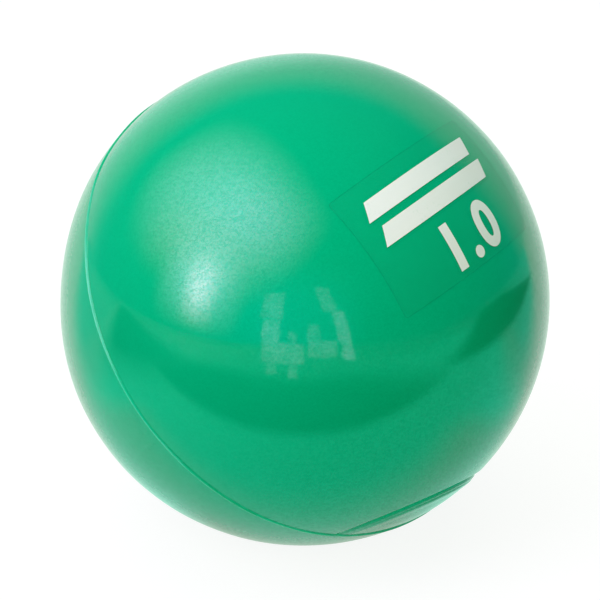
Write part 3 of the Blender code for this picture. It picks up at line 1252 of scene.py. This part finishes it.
@dataclass
class Studio:
    """Pale table, dark forms and a window that the gloss mirrors, bright fields, lights and the camera.

    Table fields come with the colours that the gloss sees in them, each over the last, and panes with their
    brightness.
    """

    skin: BallSkin
    camera_elevation: float = 20.0
    camera_distance: float = 0.450
    lens: float = 120.0
    sensor: float = 36.0
    clip_start: float = 0.01
    ball_in_picture: tuple[float, float] = (303.3, 299.4)
    backdrop: Colour = (1.0, 1.0, 1.0)
    room: Colour = (0.02, 0.74, 0.56)
    floor_radius: float = 4.0
    floor_sides: int = 96
    table_tone: Colour = (0.15, 0.15, 0.15)
    table_glow: float = 0.89
    table_bounce: float = 0.15
    far_ends: tuple[float, float] = (0.3, 2.2)
    far_glow: float = 0.16
    table_fields: tuple[tuple[Field, Colour], ...] = (
        (Field(-0.45, 0.60, -0.30, 9.0, 0.15), (0.03, 1.65, 1.12)),
        (Field(-0.100, 0.085, -0.046, 0.20, 0.018), (0.46, 0.98, 0.80)),
        (Field(-9.0, 9.0, 0.012, 9.0, 0.030), (0.62, 0.80, 0.68)),
        (Field(-9.0, -0.08, 0.012, 9.0, 0.050, lean=-1.2), (0.05, 0.84, 0.62)),
        (Field(0.08, 9.0, 0.012, 9.0, 0.050, lean=1.2), (0.05, 0.84, 0.62)),
        # The last field, darker and greyer right under the ball, is a painted contact shadow on the table as
        # the gloss sees it.
        (Field(-0.028, 0.028, -0.028, 0.028, 0.010), (0.50, 0.64, 0.54)),
    )
    card_tone: Colour = (0.02, 0.02, 0.02)
    card_reach: float = 2.0
    card_lift: float = 0.0005
    dark_forms: tuple[Field, ...] = (
        Field(-0.25, 0.15, -0.27, -0.100, 0.010, fade=0.08),
        Field(0.27, 1.50, -0.12, 0.30, 0.035, lean=0.6),
        Field(-1.60, -0.17, -0.22, 0.0, 0.025, fade=0.06),
    )
    window_depth: float = -0.160
    window_height: float = 0.085
    window_reach: float = 0.08
    window_tint: Colour = (1.9, 1.1, 1.8)
    window_wobble: float = 0.007
    window_wobble_scale: float = 110.0
    window_uneven: tuple[float, float, float, float] = (0.35, 0.6, 0.6, 1.2)
    panes: tuple[tuple[Field, float], ...] = (
        (Field(-0.0450, -0.0215, 0.0890, 0.1180, 0.0016), 0.9),
        (Field(-0.0425, -0.0240, 0.0620, 0.0875, 0.0012), 1.2),
        (Field(-0.0415, 0.0000, 0.0435, 0.0630, 0.0012), 1.0),
        (Field(-0.0365, -0.0275, 0.0310, 0.0440, 0.0012), 0.7),
        (Field(-0.0150, -0.0070, 0.0290, 0.0440, 0.0012), 0.7),
        (Field(-0.0145, -0.0073, 0.0620, 0.0740, 0.0012), 0.6),
        (Field(0.0045, 0.0160, 0.0570, 0.0815, 0.0012), 0.6),
        (Field(0.0045, 0.0335, 0.0500, 0.0665, 0.0012), 0.9),
        (Field(0.0527, 0.0661, 0.0440, 0.0960, 0.0014, lean=-0.25), 1.3),
        (Field(0.0495, 0.0645, 0.0960, 0.1240, 0.0016, lean=-0.30), 0.7),
    )
    glows: tuple[Glow, ...] = (
        Glow(52.0, -60.0, 28.0, 20.0, 1.0, (5.4, 3.5, 5.3)),
        Glow(52.0, -34.0, 17.0, 13.0, 1.0, (2.2, 0.6, 1.5)),
        Glow(33.0, -58.0, 20.0, 11.0, 1.0, (2.6, 0.2, 0.3)),
        Glow(21.0, -51.0, 13.0, 12.0, 1.0, (6.2, 4.2, 6.2)),
        Glow(17.5, -50.0, 5.5, 9.0, 1.0, (13.0, 4.0, 6.0)),
        Glow(8.0, 180.0, 53.0, 36.0, 0.4, (0.46, 0.0, 0.06)),
        Glow(2.0, -150.0, 30.0, 24.0, 0.5, (0.16, 0.27, 0.25)),
        Glow(10.0, -13.0, 28.0, 18.0, 1.0, (0.0, 0.8, 1.2)),
    )
    soft_boxes: tuple[SoftBox, ...] = (
        SoftBox("key", 38.0, -52.0, 1.2, 0.9, 0.9, 7.0, (1.0, 0.85, 1.25)),
        SoftBox("overhead", 85.0, 180.0, 1.2, 1.5, 1.5, 10.8, (1.0, 1.0, 0.95)),
        SoftBox("front_fill", 20.0, 0.0, 1.3, 1.0, 0.9, 8.0, (1.0, 1.0, 0.62)),
        SoftBox("left_fill", 10.0, -95.0, 1.3, 1.0, 0.9, 4.5, (1.0, 1.0, 0.6)),
    )

    def camera(self) -> None:
        """Places the camera so that the ball's centre falls on its place in the picture."""
        axes = tangent_frame(direction(self.camera_elevation, 0.0))
        right, up, back = axes.T
        pixel = self.camera_distance * self.sensor / self.lens / PICTURE_SIDE
        aside, below = ((place - PICTURE_SIDE / 2) * pixel for place in self.ball_in_picture)
        target = self.skin.centre - right * aside + up * below
        camera = linked("camera", bpy.data.cameras.new("camera"))
        camera.data.lens = self.lens
        camera.data.sensor_width = self.sensor
        camera.data.clip_start = self.clip_start
        camera.location = Vector(target + back * self.camera_distance)
        camera.rotation_euler = Matrix(axes.tolist()).to_euler()
        bpy.context.scene.camera = camera

    def stage_piece(self, name: str, corners: Array, material: Material) -> bpy.types.Object:
        """Puts a flat piece of the stage, of a single face, into the scene.

        Args:
            name: Its name.
            corners: Its corners in turn, n by 3.
            material: Its finish.

        Returns:
            The piece.
        """
        mesh = mesh_from(name, corners, [range(len(corners))])
        mesh.materials.append(material)
        piece = linked(name, mesh)
        return piece

    def gloss_piece(self, name: str, corners: Array, material: Material) -> None:
        """Puts a piece of the stage into the scene that only the ball's gloss sees."""
        piece = self.stage_piece(name, corners, material)
        piece.visible_camera = piece.visible_diffuse = piece.visible_shadow = False

    def floor(self) -> None:
        """A wide pale disc under the ball, which the gloss sees in coloured fields."""
        material, graph, shader = Finish("lit_table", roughness=0.7, specular=0.1).start()
        place = graph.place()
        distance = graph.node("VectorMath", {0: place}, operation="LENGTH").outputs["Value"]
        far = graph.spread(distance, *self.far_ends, 0.0, self.far_glow)
        rays = graph.node("LightPath").outputs
        direct = graph.math("MULTIPLY", graph.math("ADD", far, self.table_glow), rays["Is Camera Ray"])
        level = graph.math("MULTIPLY_ADD", rays["Is Diffuse Ray"], self.table_bounce, direct)
        seen = graph.node("CombineXYZ", {0: level, 1: level, 2: level}).outputs[0]
        mirrored = self.room
        for part, tone in self.table_fields:
            mirrored = graph.blended(part.mask(graph, place), mirrored, tone)
        colour = graph.blended(rays["Is Glossy Ray"], seen, mirrored)
        graph.fill(shader, {"Emission Color": colour, "Emission Strength": 1.0})
        graph.fill(shader, {"Base Color": self.table_tone})
        rim = carried_round(np.array([(self.floor_radius, 0.0)]), even_turns(self.floor_sides))
        self.stage_piece("floor", rim[0], material)

    def dark_card(self) -> None:
        """Dark forms on the table, before the ball and at both sides, on a card that is clear elsewhere."""
        material, graph, shader = Finish("black_card", roughness=0.9, specular=0.0).start()
        graph.fill(shader, {"Base Color": self.card_tone})
        place = graph.place()
        dark = 0.0
        for form in self.dark_forms:
            dark = graph.math("MAXIMUM", form.mask(graph, place), dark)
        under = graph.node("NewGeometry").outputs["Backfacing"]
        clear = graph.math("MAXIMUM", graph.math("SUBTRACT", 1.0, dark), under)
        through = graph.node("BsdfTransparent").outputs[0]
        graph.show(graph.node("MixShader", {0: clear, 1: shader.outputs[0], 2: through}).outputs[0])
        corners = np.array([(-1, -1, 0), (1, -1, 0), (1, 1, 0), (-1, 1, 0)]) * self.card_reach
        self.gloss_piece("dark_card", corners + (0.0, 0.0, self.card_lift), material)

    def window(self) -> None:
        """The window behind the viewer, with things standing before it.

        Its panes are soft rectangles. A noise moves each place a little before the panes are looked up, so
        that their edges are uneven.
        """
        material, graph, _ = Finish("window", roughness=1.0).start()
        parts = graph.node("SeparateXYZ", {0: graph.place()}).outputs
        place = graph.node("CombineXYZ", {0: parts["X"], 1: parts["Z"]}).outputs[0]
        noise = graph.noise(place, self.window_wobble_scale, 3.0)
        shift = graph.vector("SUBTRACT", noise["Color"], (0.5, 0.5, 0.5))
        place = graph.vector("ADD", graph.scaled(shift, self.window_wobble), place)
        total = 0.0
        for pane, level in self.panes:
            total = graph.math("MAXIMUM", graph.math("MULTIPLY", pane.mask(graph, place), level), total)
        uneven = graph.spread(noise[0], *self.window_uneven)
        glow = {"Color": self.window_tint, "Strength": graph.math("MULTIPLY", total, uneven)}
        lit, through = graph.node("Emission", glow).outputs[0], graph.node("BsdfTransparent").outputs[0]
        graph.show(graph.node("AddShader", {0: lit, 1: through}).outputs[0])
        corners = np.array([(-1, 0, -1), (1, 0, -1), (1, 0, 1), (-1, 0, 1)]) * self.window_reach
        self.gloss_piece("window", corners + (0.0, self.window_depth, self.window_height), material)

    def surroundings(self) -> None:
        """The studio round the ball, whose bright fields only the gloss sees. The camera sees white."""
        world = bpy.data.worlds.new("studio")
        world.use_nodes = True
        graph = Graph(world.node_tree)
        outward = graph.place("Generated")
        level = self.room
        for glow in self.glows:
            level = graph.vector("ADD", glow.shade(graph, outward), level)
        seen = graph.node("LightPath").outputs["Is Camera Ray"]
        colour = graph.blended(seen, level, self.backdrop)
        graph.fill(world.node_tree.nodes["Background"], {"Color": colour})
        world.cycles_visibility.diffuse = False
        bpy.context.scene.world = world
        bpy.context.scene.view_settings.view_transform = "Standard"

    def build(self) -> None:
        """Makes the camera, the stage, the surroundings and the lights."""
        self.camera()
        self.floor()
        self.dark_card()
        self.window()
        self.surroundings()
        for soft_box in self.soft_boxes:
            soft_box.build(self.skin.centre)


def main() -> None:
    """Builds the ball's pieces and the studio in order, and logs each piece."""
    logging.basicConfig(level=logging.INFO, format="%(message)s")
    flakes, handling = flake_group(), handling_group()
    skin = BallSkin()
    pearl = PearlVinyl("pearl_vinyl", 0.13, 0.5, 0.06, specular=0.30, specular_tint=(0.0, 1.0, 0.9))
    shell = add_piece(skin.build(), pearl.build(flakes, handling), Slot.PEARL, "shell")
    dull = PearlVinyl("plug_vinyl", 0.45, 0.3, 0.2, deep=(0.0, 0.30, 0.13), light=(0.0, 0.38, 0.18))
    add_piece(FillerPlug(skin).build(), dull.build(flakes, handling), Slot.PLUG, "filler_plug")
    grains = DrySand("dry_sand", roughness=0.95, specular=0.2)
    add_piece(SandFill(skin).build(), grains.build(), Slot.SAND, "sand_fill")
    label = Label(skin)
    film = ClearFilm("clear_film", roughness=0.2, coat=1.0, coat_roughness=0.04)
    add_piece(label.film(), film.build(handling), Slot.FILM, "label_film")
    ink = WhiteInk("white_ink", roughness=0.35, coat=0.5)
    add_piece(label.mark(), ink.build(handling), Slot.FILM)
    Studio(skin).build()


if __name__ == "__main__":
    main()
